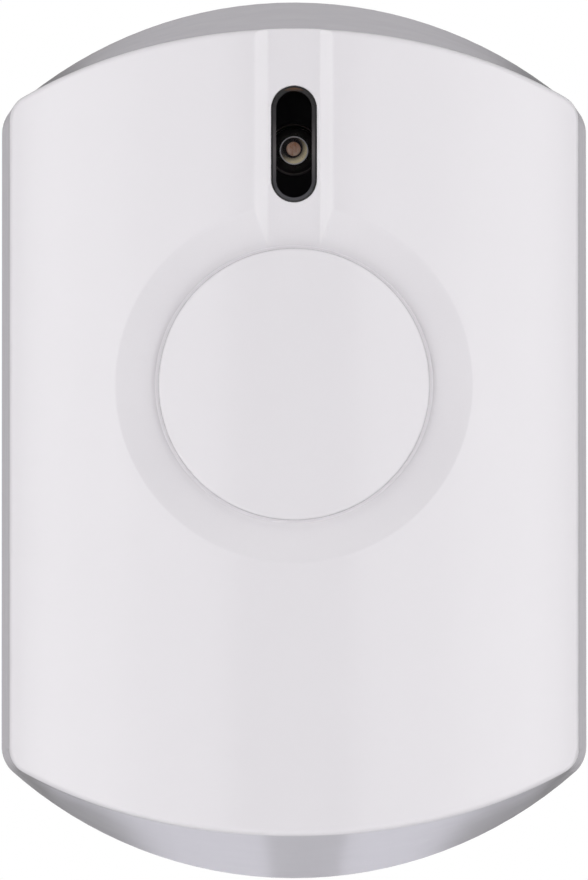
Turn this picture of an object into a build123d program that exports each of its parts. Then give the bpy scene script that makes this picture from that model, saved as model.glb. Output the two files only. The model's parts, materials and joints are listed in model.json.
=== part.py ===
from build123d import *
import math
import os

# Indoor alarm siren, in millimetres.
# X runs to the right, Z up, and the wall is the plane Y = 0 with the front towards -Y.
# A depth is a distance in front of the wall, and a place is given as X and Z.

# Case
case_width = 60.0
case_height = 90.0
case_depth = 32.0
case_end_radius = 43.5
side_set_back = 1.75
end_set_back = 4.7
front_top_radius = 58.3
front_bottom_radius = 60.2
face_radius = 75.0
wall_corner_round = 3.5
front_corner_round = 2.5
least_corner_round = 0.4
edge_round = 0.5
cover_wall = 2.0
rear_gap = 0.4

# Running gap between bodies that move past each other
running_gap = 0.3
# Fit gap round pegs, screws and contacts
fit_gap = 0.05

# Groove and dished ring in the face
groove_floor = 5.2
groove_slope = 1.5
groove_depth = 0.9
ring_radius = 17.9
ring_depth = 0.95

# Sounder button
button_radius = 13.6
button_gap = 0.08
button_round = 0.25
button_z = 4.8
button_plate = 3.1
button_travel = 1.0
skirt_wall = 1.2
ledge_set_back = 4.0
flange_lip = 1.2
flange_thickness = 1.2
travel_reserve = 0.8
collar_wall = 1.4
key_width = 3.0
key_reach = 0.9
sound_notches = 8
sound_notch_width = 2.4
sound_notch_depth = 0.6
press_peg_radius = 1.5
press_peg_offset = 8.0
press_gap = 0.2

# Retainer ring behind the button
retainer_thickness = 1.5
retainer_opening = 10.2
retainer_ear = 2.9
retainer_screw_circle = 18.8
retainer_screws_count = 3

# Coil spring between retainer and button
spring_wire = 0.6
spring_radius = 11.3
spring_turns = 2.5
# Points per turn on which a coil's gap to itself is measured
coil_samples = 24

# Self-tapping screws of the board and the retainer
screw_shank_radius = 0.9
screw_head_radius = 1.8
screw_head_height = 1.2
screw_length = 4.4
screw_end_gap = 0.2
screw_slot_length = 2.4
screw_slot_width = 0.5
screw_slot_depth = 0.6
boss_radius = 2.2

# Window and lamp
window_width = 4.6
window_height = 11.7
window_z = 28.85
window_set_back = 0.1
window_bevel = 0.45
window_bevel_drop = 0.35
lens_flange_lip = 1.4
lens_flange = 1.0
lens_back = 3.3
shield_wall = 0.8
shield_margin = 0.6
shield_plate = 0.8
shield_plate_lip = 2.6
shield_peg_radius = 0.8
shield_gap = 0.3
shield_floor = 0.8
shield_opening = 2.45
lamp_drop = 0.15
lamp_radius = 1.5
lamp_flange_radius = 1.9
lamp_flange = 1.0
lamp_height = 5.3
lamp_lead_radius = 0.25
lamp_lead_space = 2.54
lamp_lead_tail = 1.0
spacer_radius = 2.5
spacer_height = 9.4
spacer_slope = 0.2

# Back plate
plate_thickness = 2.4
plate_rib = 1.2
plate_rib_height = 2.6
plate_pocket_depth = 0.8
plate_pocket_width = 15.0
plate_pocket_height = 11.0
plate_pocket_space = 14.0
plate_pocket_x = 15.5
wall_hole_radius = 2.2
wall_hole_from_end = 9.0
wall_seat_radius = 3.6
wall_seat_depth = 0.8
post_radius = 2.4
post_x = 22.0
post_from_top = 6.0
post_from_bottom = 3.0

# Cover hooks at the top, both sides concentric with the swing axis at the case's rear top edge
tongue_radius = 4.4
hook_gap = 0.3
hook_thickness = 1.5
hook_x = 6.5
hook_width = 4.0
tongue_start = 6.0
tongue_end = 50.0
hook_start = 10.0
hook_end = 38.0

# Latch at the bottom, with a barb that is sloped on both faces
latch_width = 7.0
latch_thickness = 1.0
latch_height = 9.0
latch_gap = 0.4
latch_foot = 1.0
latch_barb = 1.5
latch_barb_back = 5.6
latch_barb_rear_slope = 1.0
latch_barb_flat = 0.4
latch_barb_front_slope = 1.4
latch_pocket_gap = 0.4

# Main board
board_standoff = 3.6
board_thickness = 1.6
board_side_margin = 0.2
board_top = 32.0
board_bottom = -12.6
board_corner = 6.0
board_hole_radius = 1.1

# Siren capsule
capsule_radius = 9.8
capsule_height = 12.0
capsule_wall = 1.1
capsule_floor = 1.6
capsule_cap = 1.6
capsule_cap_slope = 0.5
capsule_hole = 1.75
piezo_gap = 0.3
piezo_thickness = 0.4
piezo_step = 0.9
piezo_rim = 1.8
piezo_rise = 3.2

# Switches
switch_size = 6.0
switch_body_height = 3.5
switch_well_floor = 0.5
switch_well_gap = 0.1
switch_stem_slope = 0.3
button_switch_reach = 13.0
button_switch_stem_radius = 1.75
tamper_x = 17.0
tamper_z = -5.6
tamper_reach = 8.4
tamper_stem_radius = 1.2
tamper_rib_radius = 1.8
tamper_web_width = 7.2
tamper_web = 1.2
tamper_gap = 0.1

# Radio board and its antenna
radio_x = -12.6
radio_z = 20.0
radio_width = 11.6
radio_height = 14.0
radio_thickness = 0.8
radio_lift = 1.0
radio_can_width = 9.4
radio_can_height = 9.0
radio_can_depth = 2.0
radio_can_round = 0.4
antenna_x = -20.4
antenna_z = -2.0
antenna_wire = 0.5
antenna_radius = 2.0
antenna_turn_rise = 1.25
antenna_turns = 10
antenna_lift = 0.3
antenna_foot_size = 5.5
antenna_foot_height = 2.0

# Processor, crystal and programming pins
processor_x = 11.6
processor_z = 20.2
processor_size = 7.0
processor_height = 1.3
processor_lift = 0.16
processor_leads = 8
processor_lead_space = 0.8
processor_lead_width = 0.4
processor_lead_thickness = 0.16
processor_lead_reach = 1.3
crystal_x = 12.6
crystal_z = 28.2
crystal_length = 10.6
crystal_width = 4.2
crystal_height = 3.4
crystal_round = 0.4
header_x = 21.2
header_z = 12.4
header_pin_space = 2.54
header_pins = 5
header_body = 2.4
header_pin = 0.64
header_reach = 8.4

# Drive circuit of the siren
capacitor_x = 17.0
capacitor_z = 4.2
capacitor_radius = 3.15
capacitor_height = 10.6
capacitor_round = 0.5
capacitor_groove_radius = 0.4
capacitor_groove_rise = 2.1
inductor_x = -14.7
inductor_z = -5.6
inductor_size = 5.6
inductor_height = 3.0
inductor_corner = 0.8
inductor_core_radius = 2.07
inductor_slit = 0.28
inductor_slit_depth = 1.5
transistor_x = 8.6
transistor_z = 10.0
transistor_width = 2.9
transistor_height = 1.5
transistor_depth = 1.1
transistor_leg_x = 0.97
transistor_leg_width = 0.48
transistor_leg_reach = 1.1
transistor_leg_thickness = 0.28
resistor_length = 1.6
resistor_width = 0.8
resistor_height = 0.5
resistor_space = 2.5
resistors_in_row = 5
resistor_row_gap = 1.6
resistor_row_shift = 2.5
resistor_row_drop = 7.0

# Battery, a 17 mm camera cell lying across
cell_radius = 8.5
cell_length = 33.7
cell_round = 0.7
cell_nub_radius = 3.2
cell_nub = 0.8
cell_clearance = 0.2
cradle_board_gap = 0.3
cradle_wall = 1.0
cradle_floor = 1.0
cradle_ribs = 4
cradle_rib = 1.2
cradle_front_rise = 9.0
cradle_board_rise = 4.4
cradle_end_gap = 2.4
cradle_end_rise = 12.0
cradle_peg_radius = 1.2
contact_thickness = 0.4
contact_width = 9.0
contact_lift = 0.6
contact_dimple_radius = 2.24
contact_coil_wire = 0.5
contact_coil_wide = 4.2
contact_coil_narrow = 2.4
contact_coil_turns = 1.5
contact_leg_width = 2.4
contact_leg_overlap = 3.0

# Depths that follow from the sizes above
board_back = plate_thickness + board_standoff
board_front = board_back + board_thickness
ledge = case_depth - ledge_set_back
button_back = case_depth - button_plate
flange_back = ledge - flange_thickness
collar_end = flange_back - button_travel - travel_reserve
retainer_back = collar_end - retainer_thickness
button_switch_tip = board_front + button_switch_reach
tamper_tip = board_front + tamper_reach
lamp_seat = board_front + spacer_height
lamp_tip = lamp_seat + lamp_height
shield_back = lamp_tip + shield_gap
lens_rear = case_depth - lens_back
capsule_top = board_front + capsule_height
cell_depth = plate_thickness + cradle_floor + cell_clearance + cell_radius

# Radii and places that follow from the sizes above
skirt_inner = button_radius - skirt_wall
button_hole = button_radius + button_gap
flange_radius = button_radius + flange_lip
collar_bore = flange_radius + running_gap
collar_radius = collar_bore + collar_wall
piezo_radius = capsule_radius - capsule_wall - piezo_gap
swing_axis_z = case_height / 2
hook_inner = tongue_radius + hook_gap
hook_outer = hook_inner + hook_thickness
latch_z = cover_wall + end_set_back * latch_height / case_depth + latch_gap - case_height / 2
wall_hole_z = case_height / 2 - wall_hole_from_end
lamp_z = window_z - lamp_drop
board_width = 2 * (post_x + screw_head_radius + board_side_margin)
post_high_z = board_top - post_from_top
post_low_z = board_bottom + post_from_bottom
button_switch_z = button_z + press_peg_offset
capsule_z = (button_switch_z - switch_size / 2 + board_bottom) / 2
cradle_half_height = cell_radius + cell_clearance + cradle_wall
cell_z = board_bottom - cradle_board_gap - cradle_half_height
cell_right_end = (cell_length + cell_nub) / 2
cradle_half_length = cell_right_end + cradle_end_gap + cradle_wall
cradle_peg_x = cell_right_end + cradle_end_gap / 2


def facing(depth):
    """Plane parallel to the wall at a depth, as seen from the front."""
    return Plane(origin=(0, -depth, 0), x_dir=(1, 0, 0), z_dir=(0, -1, 0))


def rod(x, z, radius, back, front):
    return extrude(facing(back) * Pos(x, z) * Circle(radius), amount=front - back)


def block(x, z, width, height, back, front):
    return extrude(facing(back) * Pos(x, z) * Rectangle(width, height), amount=front - back)


def slot(x, z, width, height, back, front, taper=0):
    """Upright bar with round ends."""
    outline = facing(back) * Pos(x, z) * Rot(0, 0, 90) * SlotOverall(height, width)
    return extrude(outline, amount=front - back, taper=taper)


def across(z, depth, radius, left, right):
    """Cylinder along X."""
    plane = Plane(origin=(left, -depth, z), x_dir=(0, 1, 0), z_dir=(1, 0, 0))
    return extrude(plane * Circle(radius), amount=right - left)


def joined(pieces):
    """One solid made of pieces that touch or overlap."""
    pieces = list(pieces)
    return pieces[0].fuse(*pieces[1:]).clean() if len(pieces) > 1 else pieces[0]


def grouped(pieces):
    """Separate solids kept in one part."""
    return Compound(children=[Solid(piece.solid().wrapped) for piece in pieces])


def front_rim(piece):
    """Edges round the piece's foremost face."""
    return piece.faces().sort_by(Axis.Y)[0].edges()


def case_outline(inset, width, height, top_radius, bottom_radius, corner_round):
    """Straight sides and arched ends, moved inwards by the inset."""
    x = width / 2 - inset
    end = height / 2 - inset
    top_centre = height / 2 - top_radius
    bottom_centre = bottom_radius - height / 2
    top_corner = top_centre + math.sqrt((top_radius - inset) ** 2 - x**2)
    bottom_corner = bottom_centre - math.sqrt((bottom_radius - inset) ** 2 - x**2)
    lines = [
        Line((x, bottom_corner), (x, top_corner)),
        ThreePointArc((x, top_corner), (0, end), (-x, top_corner)),
        Line((-x, top_corner), (-x, bottom_corner)),
        ThreePointArc((-x, bottom_corner), (0, -end), (x, bottom_corner)),
    ]
    outline = make_face(lines)
    return fillet(outline.vertices(), max(corner_round - inset, least_corner_round))


def face_cylinder(inset):
    """The face's curve as a full cylinder about an upright axis."""
    axis_y = face_radius - case_depth
    return Pos(0, axis_y, 0) * Cylinder(face_radius - inset, 2 * case_height)


def case_form(inset):
    """Solid inside the case's outer skin, moved inwards by the inset."""
    at_wall = case_outline(
        inset, case_width, case_height, case_end_radius, case_end_radius, wall_corner_round
    )
    at_front = case_outline(
        inset, case_width - 2 * side_set_back, case_height - 2 * end_set_back,
        front_top_radius, front_bottom_radius, front_corner_round,
    )
    sides = loft([facing(0) * at_wall, facing(case_depth) * at_front], ruled=True)
    return sides & face_cylinder(inset)


def slice_between(back, front):
    return block(0, 0, 2 * case_width, 2 * case_height, back, front)


def swing_sector(radius, start, end, width):
    """Pie pieces about the swing axis, one at each hook, from straight down towards the front."""
    pieces = []
    for x in (-hook_x, hook_x):
        plane = Plane(origin=(x - width / 2, 0, swing_axis_z), x_dir=(0, 0, -1), z_dir=(1, 0, 0))
        angles = [math.radians(angle) for angle in (start, (start + end) / 2, end)]
        first, middle, last = [(radius * math.cos(a), -radius * math.sin(a)) for a in angles]
        outline = make_face([Line((0, 0), first), ThreePointArc(first, middle, last), Line(last, (0, 0))])
        pieces.append(extrude(plane * outline, amount=width))
    return pieces


def swing_cylinders(radius, width):
    return [across(swing_axis_z, 0, radius, x - width / 2, x + width / 2) for x in (-hook_x, hook_x)]


def screw(x, z, seat, direction):
    """Screw whose head stands on a seat and points along the direction, with a cross slot."""
    head_end = seat + direction * screw_head_height
    tip = seat - direction * screw_length
    slot_floor = head_end - direction * screw_slot_depth
    head = rod(x, z, screw_head_radius, min(seat, head_end), max(seat, head_end))
    shank = rod(x, z, screw_shank_radius, min(seat, tip), max(seat, tip))
    cross_back, cross_front = min(slot_floor, head_end), max(slot_floor, head_end)
    cross = [
        block(x, z, screw_slot_length, screw_slot_width, cross_back, cross_front),
        block(x, z, screw_slot_width, screw_slot_length, cross_back, cross_front),
    ]
    return joined([head, shank]) - cross


def coil_path(plane, radii, rises, turns):
    """Wire path round the plane's axis, each quarter turn made of two arcs that share a tangent."""
    quarters = round(4 * turns)

    def point(step):
        share = step / quarters
        radius = radii[0] + (radii[1] - radii[0]) * share
        angle = step * math.pi / 2
        rise = rises[0] + (rises[1] - rises[0]) * share
        return plane.from_local_coords(Vector(radius * math.cos(angle), radius * math.sin(angle), rise))

    def heading(step):
        small = 0.001
        return (point(step + small) - point(step - small)).normalized()

    arcs = []
    for step in range(quarters):
        start, end = point(step), point(step + 1)
        out, home = heading(step), heading(step + 1)
        chord = end - start
        both = out + home
        a = both.dot(both) - 4
        b = -2 * chord.dot(both)
        c = chord.dot(chord)
        reach = (-b - math.sqrt(b * b - 4 * a * c)) / (2 * a)
        near = start + out * reach
        far = end - home * reach
        middle = (near + far) * 0.5
        arcs.append(TangentArc(start, middle, tangent=out))
        arcs.append(TangentArc(middle, end, tangent=(far - near).normalized()))
    return Wire([arc.edge() for arc in arcs])


def coil(name, plane, radii, rises, turns, wire):
    """One unbroken tube along a coil path. The clear distance between its turns is printed."""
    path = coil_path(plane, radii, rises, turns)
    steps = round(coil_samples * turns)
    points = [path @ (step / steps) for step in range(steps + 1)]
    distances = [
        (points[later] - points[earlier]).length
        for earlier in range(steps + 1)
        for later in range(earlier + coil_samples // 2, steps + 1)
    ]
    print(name, "least gap to itself", round(min(distances) - wire, 2), "mm")
    profile = Plane(origin=path @ 0, z_dir=path % 0) * Circle(wire / 2)
    return sweep(profile, path=path)


def retainer_places():
    """Screw places of the retainer, as X and Z, clear of the key at the top."""
    places = []
    for number in range(retainer_screws_count):
        angle = math.radians(-90 + 360 * number / retainer_screws_count)
        x = retainer_screw_circle * math.cos(angle)
        z = button_z + retainer_screw_circle * math.sin(angle)
        places.append((x, z))
    return places


def post_places():
    return [(x, z) for x in (-post_x, post_x) for z in (post_low_z, post_high_z)]


def shield_peg_places():
    x = window_width / 2 + shield_margin + shield_wall + shield_plate_lip / 2
    z = window_height / 2 - shield_peg_radius
    return [(side * x, window_z + end * z) for side in (-1, 1) for end in (-1, 1)]


def lamp_lead_places():
    return (-lamp_lead_space / 2, lamp_lead_space / 2)


def dish_plug():
    """Material taken from the face to dish the ring towards the button."""
    outer = rod(0, button_z, ring_radius, 0, 2 * case_depth) & face_cylinder(0)
    inner = rod(0, button_z, button_hole, 0, 2 * case_depth) & face_cylinder(ring_depth)
    outer_cap = outer.faces().sort_by(Axis.Y)[0]
    inner_cap = inner.faces().sort_by(Axis.Y)[0]
    slope = Face.make_surface_from_curves(outer_cap.outer_wire(), inner_cap.outer_wire())
    return Solid(Shell([outer_cap, inner_cap, slope]))


def groove_cutter():
    """Upright groove from the button to the top of the face."""
    floor = case_depth - groove_depth
    top = case_depth + groove_depth
    half_floor = groove_floor / 2
    half_top = half_floor + 2 * groove_slope
    outline = Polyline(
        (-half_floor, -floor), (half_floor, -floor), (half_top, -top), (-half_top, -top), close=True
    )
    plane = Plane(origin=(0, 0, button_z), x_dir=(1, 0, 0), z_dir=(0, 0, 1))
    return extrude(plane * make_face(outline), amount=case_height)


def cover_insides():
    """Collar, bosses, pegs, tamper rib and hook tongues, trimmed to lie within the cover's skin."""
    pieces = [rod(0, button_z, collar_radius, collar_end, case_depth)]
    web_length = retainer_screw_circle - collar_bore
    web = block(0, collar_bore + web_length / 2, 2 * boss_radius, web_length, collar_end, case_depth)
    for x, z in retainer_places():
        pieces.append(rod(x, z, boss_radius, collar_end, case_depth))
        angle = math.degrees(math.atan2(z - button_z, x))
        pieces.append(Pos(0, 0, button_z) * Rot(0, 90 - angle, 0) * web)
    peg_back = lens_rear - shield_plate - shield_gap
    pieces += [rod(x, z, shield_peg_radius, peg_back, case_depth) for x, z in shield_peg_places()]
    rib_back = tamper_tip + tamper_gap
    web_back = rib_back + tamper_web
    pieces.append(rod(tamper_x, tamper_z, tamper_rib_radius, rib_back, case_depth))
    pieces.append(block(tamper_x, tamper_z, tamper_web_width, tamper_web, web_back, case_depth))
    pieces += swing_sector(tongue_radius, tongue_start, tongue_end, hook_width)
    room = case_form(cover_wall / 2) & slice_between(rear_gap, case_depth)
    return [piece & room for piece in pieces]


def latch_pocket():
    """Room for the latch's barb in the cover's bottom wall."""
    reach = latch_barb + latch_pocket_gap
    back = latch_barb_back - latch_pocket_gap
    front = latch_barb_front() + latch_pocket_gap
    return block(0, latch_z - reach / 2, latch_width + 2 * latch_pocket_gap, reach, back, front)


def front_cover():
    outside = case_form(0)
    shell = fillet(front_rim(outside), edge_round) - case_form(cover_wall)
    shell = shell & slice_between(rear_gap, 2 * case_depth)
    cover = joined([shell] + cover_insides())
    cover -= rod(0, button_z, collar_bore, 0, ledge)
    cover -= dish_plug()
    cover -= rod(0, button_z, button_hole, 0, 2 * case_depth)
    key_height = flange_radius + key_reach + running_gap
    cover -= block(0, button_z + key_height / 2, key_width + 2 * running_gap, key_height, 0, ledge)
    cover -= groove_cutter()
    cover -= slot(0, window_z, window_width, window_height, lens_rear, 2 * case_depth)
    screw_room = retainer_back + screw_length + screw_end_gap
    cover -= [rod(x, z, screw_shank_radius + fit_gap, 0, screw_room) for x, z in retainer_places()]
    return cover - latch_pocket()


def window_lens():
    """Smoked window with a bevelled rim and a flange behind the face."""
    front = case_depth - groove_depth - window_set_back
    bevel_angle = math.degrees(math.atan2(window_bevel, window_bevel_drop))
    plug_width = window_width - 2 * fit_gap
    plug_height = window_height - 2 * fit_gap
    plug = slot(0, window_z, plug_width, plug_height, lens_rear, front)
    dip_floor = front - window_bevel_drop
    dip_width = plug_width - 2 * window_bevel
    dip_height = plug_height - 2 * window_bevel
    dip = slot(0, window_z, dip_width, dip_height, dip_floor, front + window_bevel_drop, -bevel_angle)
    flange_width = plug_width + 2 * lens_flange_lip
    flange_height = plug_height + 2 * lens_flange_lip
    flange = slot(0, window_z, flange_width, flange_height, lens_rear, lens_rear + lens_flange)
    return joined([plug - dip, flange & case_form(cover_wall)])


def light_shield():
    """Black tunnel that keeps stray light between the lamp and the window."""
    inner_width = window_width + 2 * shield_margin
    inner_height = window_height + 2 * shield_margin
    outer_width = inner_width + 2 * shield_wall
    outer_height = inner_height + 2 * shield_wall
    plate_width = outer_width + 2 * shield_plate_lip
    plate_height = window_height + 2 * shield_peg_radius
    tunnel = slot(0, window_z, outer_width, outer_height, shield_back, lens_rear)
    plate = block(0, window_z, plate_width, plate_height, lens_rear - shield_plate, lens_rear)
    shield = joined([tunnel, plate]) & case_form(cover_wall)
    shield -= slot(0, window_z, inner_width, inner_height, shield_back + shield_floor, case_depth)
    shield -= rod(0, lamp_z, shield_opening, 0, case_depth)
    return shield - [rod(x, z, shield_peg_radius + fit_gap, 0, case_depth) for x, z in shield_peg_places()]


def siren_button():
    """Round button with a skirt, a flange that stops it in the cover and a peg on its back."""
    plate = rod(0, button_z, button_radius, button_back, 2 * case_depth) & face_cylinder(0)
    plate = fillet(front_rim(plate), button_round)
    skirt = rod(0, button_z, button_radius, flange_back, button_back)
    flange = rod(0, button_z, flange_radius, flange_back, ledge)
    key_height = flange_radius + key_reach
    key = block(0, button_z + key_height / 2, key_width, key_height, flange_back, ledge)
    rim = joined([skirt, flange, key]) - rod(0, button_z, skirt_inner, 0, button_back)
    notch_height = flange_lip + 2 * skirt_wall
    notch = block(0, button_radius, sound_notch_width, notch_height, flange_back, ledge + sound_notch_depth)
    for number in range(sound_notches):
        angle = 360 * (number + 0.5) / sound_notches
        rim -= Pos(0, 0, button_z) * Rot(0, angle, 0) * notch
    press_peg = rod(0, button_switch_z, press_peg_radius, button_switch_tip + press_gap, button_back)
    return joined([plate, rim, press_peg])


def button_retainer():
    ring = rod(0, button_z, collar_radius, retainer_back, collar_end)
    ears = [rod(x, z, retainer_ear, retainer_back, collar_end) for x, z in retainer_places()]
    retainer = joined([ring] + ears) - rod(0, button_z, retainer_opening, 0, case_depth)
    screw_hole = screw_shank_radius + 2 * fit_gap
    return retainer - [rod(x, z, screw_hole, 0, case_depth) for x, z in retainer_places()]


def retainer_screws():
    return grouped([screw(x, z, retainer_back, -1) for x, z in retainer_places()])


def button_spring():
    plane = Plane(origin=(0, 0, button_z), x_dir=(1, 0, 0), z_dir=(0, -1, 0))
    rises = (collar_end + spring_wire / 2, button_back - spring_wire / 2)
    return coil("button_spring", plane, (spring_radius, spring_radius), rises, spring_turns, spring_wire)


def back_plate():
    inset = cover_wall + running_gap
    skin = case_form(inset)
    plate = skin & slice_between(0, plate_thickness)
    rib = skin & slice_between(plate_thickness, plate_thickness + plate_rib_height)
    rib -= case_form(inset + plate_rib)
    rib -= block(0, latch_z, latch_width + 2 * latch_pocket_gap, 4 * cover_wall, 0, case_depth)
    posts = [rod(x, z, post_radius, plate_thickness, board_back) for x, z in post_places()]
    pegs = [
        rod(x, cell_z, cradle_peg_radius, plate_thickness, plate_thickness + cradle_floor)
        for x in (-cradle_peg_x, cradle_peg_x)
    ]
    base = joined([plate, rib] + posts + pegs)
    base -= swing_cylinders(hook_inner, hook_width + 2 * running_gap)
    hooks = swing_sector(hook_outer, hook_start, hook_end, hook_width)
    base = joined([base] + [hook - swing_cylinders(hook_inner, 2 * hook_width) for hook in hooks])
    for z in (-wall_hole_z, wall_hole_z):
        base -= rod(0, z, wall_hole_radius, 0, case_depth)
        base -= rod(0, z, wall_seat_radius, plate_thickness - wall_seat_depth, case_depth)
    base -= [rod(x, z, screw_shank_radius + fit_gap, plate_thickness, board_back) for x, z in post_places()]
    for x in (-plate_pocket_x, plate_pocket_x):
        for row in (-1, 0, 1):
            z = row * plate_pocket_space
            base -= block(x, z, plate_pocket_width, plate_pocket_height, 0, plate_pocket_depth)
    return base


def latch_barb_front():
    return latch_barb_back + latch_barb_rear_slope + latch_barb_flat + latch_barb_front_slope


def cover_latch():
    """Springy tab with a barb that catches in the cover's bottom wall."""
    tab_middle = latch_z + latch_thickness / 2
    tab = block(0, tab_middle, latch_width, latch_thickness, plate_thickness, latch_height)
    foot_front = plate_thickness + latch_foot
    foot = block(0, latch_z + latch_foot, latch_width, 2 * latch_foot, plate_thickness, foot_front)
    tip = latch_z - latch_barb
    flat_start = latch_barb_back + latch_barb_rear_slope
    outline = Polyline(
        (latch_z, latch_barb_back), (tip, flat_start),
        (tip, flat_start + latch_barb_flat), (latch_z, latch_barb_front()), close=True,
    )
    plane = Plane(origin=(-latch_width / 2, 0, 0), x_dir=(0, 0, 1), z_dir=(1, 0, 0))
    barb = extrude(plane * make_face(outline), amount=latch_width)
    return joined([tab, foot, barb])


def main_board():
    height = board_top - board_bottom
    middle = (board_top + board_bottom) / 2
    board = block(0, middle, board_width, height, board_back, board_front)
    top_corners = board.edges().filter_by(Axis.Y).group_by(Axis.Z)[-1]
    board = chamfer(top_corners, board_corner)
    board -= [rod(x, z, board_hole_radius, 0, case_depth) for x, z in post_places()]
    return board - [rod(x, lamp_z, lamp_lead_radius + fit_gap, 0, case_depth) for x in lamp_lead_places()]


def board_screws():
    return grouped([screw(x, z, board_front, 1) for x, z in post_places()])


def siren_capsule():
    """Round housing with a step inside that carries the piezo disc."""
    top = capsule_top - capsule_cap
    seat = board_front + capsule_floor + piezo_rise
    body = rod(0, capsule_z, capsule_radius, board_front, top)
    body -= rod(0, capsule_z, capsule_radius - capsule_wall, seat, top)
    return body - rod(0, capsule_z, piezo_radius - piezo_step, board_front + capsule_floor, top)


def capsule_lid():
    top = capsule_top - capsule_cap
    lid = rod(0, capsule_z, capsule_radius, top, capsule_top)
    lid = chamfer(front_rim(lid), capsule_cap_slope)
    return lid - rod(0, capsule_z, capsule_hole, 0, case_depth)


def piezo_disc():
    """Brass disc with its ceramic layer on the front."""
    seat = board_front + capsule_floor + piezo_rise
    middle = seat + piezo_thickness / 2
    brass = rod(0, capsule_z, piezo_radius, seat, middle)
    ceramic = rod(0, capsule_z, piezo_radius - piezo_rim, middle, seat + piezo_thickness)
    return joined([brass, ceramic])


def led_lamp():
    """Round lamp with its flange, domed end and two leads that pass through the board."""
    flange = rod(0, lamp_z, lamp_flange_radius, lamp_seat, lamp_seat + lamp_flange)
    shaft = rod(0, lamp_z, lamp_radius, lamp_seat, lamp_tip - lamp_radius)
    dome = Pos(0, lamp_radius - lamp_tip, lamp_z) * Sphere(lamp_radius)
    lead_back = board_back - lamp_lead_tail
    leads = [rod(x, lamp_z, lamp_lead_radius, lead_back, lamp_seat) for x in lamp_lead_places()]
    return joined([flange, shaft, dome] + leads)


def led_spacer():
    spacer = rod(0, lamp_z, spacer_radius, board_front, lamp_seat)
    spacer = chamfer(front_rim(spacer), spacer_slope)
    return spacer - [rod(x, lamp_z, lamp_lead_radius + fit_gap, 0, case_depth) for x in lamp_lead_places()]


def switch_body(x, z, stem_radius):
    body = block(x, z, switch_size, switch_size, board_front, board_front + switch_body_height)
    well = rod(x, z, stem_radius + switch_well_gap, board_front + switch_well_floor, case_depth)
    return body - well


def switch_stem(x, z, radius, tip, travel):
    """Stem that can sink by its travel before it meets the floor of its well."""
    foot = board_front + switch_well_floor + switch_well_gap + travel
    stem = rod(x, z, radius, foot, tip)
    return chamfer(front_rim(stem), switch_stem_slope)


def button_switch():
    return switch_body(0, button_switch_z, button_switch_stem_radius)


def button_switch_stem():
    return switch_stem(0, button_switch_z, button_switch_stem_radius, button_switch_tip, button_travel)


def tamper_switch():
    return switch_body(tamper_x, tamper_z, tamper_stem_radius)


def tamper_switch_stem():
    """The cover holds this stem pressed in, so it only moves out."""
    return switch_stem(tamper_x, tamper_z, tamper_stem_radius, tamper_tip, 0)


def radio_board():
    """Small board on two rows of pads above the main board."""
    back = board_front + radio_lift
    board = block(radio_x, radio_z, radio_width, radio_height, back, back + radio_thickness)
    pad_shift = (radio_width - radio_lift) / 2
    pads = [
        block(radio_x + shift, radio_z, radio_lift, radio_height, board_front, back)
        for shift in (-pad_shift, pad_shift)
    ]
    return joined([board] + pads)


def radio_shield():
    back = board_front + radio_lift + radio_thickness
    can = block(radio_x, radio_z, radio_can_width, radio_can_height, back, back + radio_can_depth)
    return fillet(front_rim(can), radio_can_round)


def antenna_depth():
    return board_front + antenna_lift + antenna_radius + antenna_wire / 2


def antenna_coil():
    plane = Plane(origin=(antenna_x, -antenna_depth(), antenna_z), x_dir=(0, 1, 0), z_dir=(0, 0, 1))
    rises = (0, antenna_turn_rise * antenna_turns)
    return coil("antenna_coil", plane, (antenna_radius, antenna_radius), rises, antenna_turns, antenna_wire)


def antenna_foot():
    """Plastic block that holds the lower end of the antenna on the board."""
    top = antenna_z - antenna_wire / 2 - fit_gap
    middle = top - antenna_foot_height / 2
    return block(antenna_x, middle, antenna_foot_size, antenna_foot_height, board_front, antenna_depth())


def processor_chip():
    """Flat chip with rows of leads on its four sides."""
    x, z = processor_x, processor_z
    body_back = board_front + processor_lift
    lead_front = body_back + processor_lead_thickness
    body = block(x, z, processor_size, processor_size, body_back, board_front + processor_height)
    span = processor_size + 2 * processor_lead_reach
    leads = []
    for number in range(processor_leads):
        offset = (number - (processor_leads - 1) / 2) * processor_lead_space
        leads.append(block(x + offset, z, processor_lead_width, span, board_front, lead_front))
        leads.append(block(x, z + offset, span, processor_lead_width, board_front, lead_front))
    return joined([body] + leads)


def crystal():
    outline = facing(board_front) * Pos(crystal_x, crystal_z) * SlotOverall(crystal_length, crystal_width)
    can = extrude(outline, amount=crystal_height)
    return fillet(front_rim(can), crystal_round)


def program_header():
    """Row of square pins in one plastic strip."""
    length = header_pins * header_pin_space
    strip = block(header_x, header_z, header_body, length, board_front, board_front + header_body)
    pins = []
    for number in range(header_pins):
        z = header_z + (number - (header_pins - 1) / 2) * header_pin_space
        pins.append(block(header_x, z, header_pin, header_pin, board_front, board_front + header_reach))
    return joined([strip] + pins)


def boost_capacitor():
    """Upright can with a pressed groove near its foot."""
    can = rod(capacitor_x, capacitor_z, capacitor_radius, board_front, board_front + capacitor_height)
    can = fillet(front_rim(can), capacitor_round)
    groove_y = -(board_front + capacitor_groove_rise)
    groove = Rot(90, 0, 0) * Torus(capacitor_radius, capacitor_groove_radius)
    return can - Pos(capacitor_x, groove_y, capacitor_z) * groove


def boost_inductor():
    """Shielded coil: a square block with a round core in its front."""
    top = board_front + inductor_height
    shell = block(inductor_x, inductor_z, inductor_size, inductor_size, board_front, top)
    shell = chamfer(shell.edges().filter_by(Axis.Y), inductor_corner)
    slit = rod(inductor_x, inductor_z, inductor_core_radius + inductor_slit, top - inductor_slit_depth, top)
    slit -= rod(inductor_x, inductor_z, inductor_core_radius, 0, case_depth)
    return shell - slit


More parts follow.
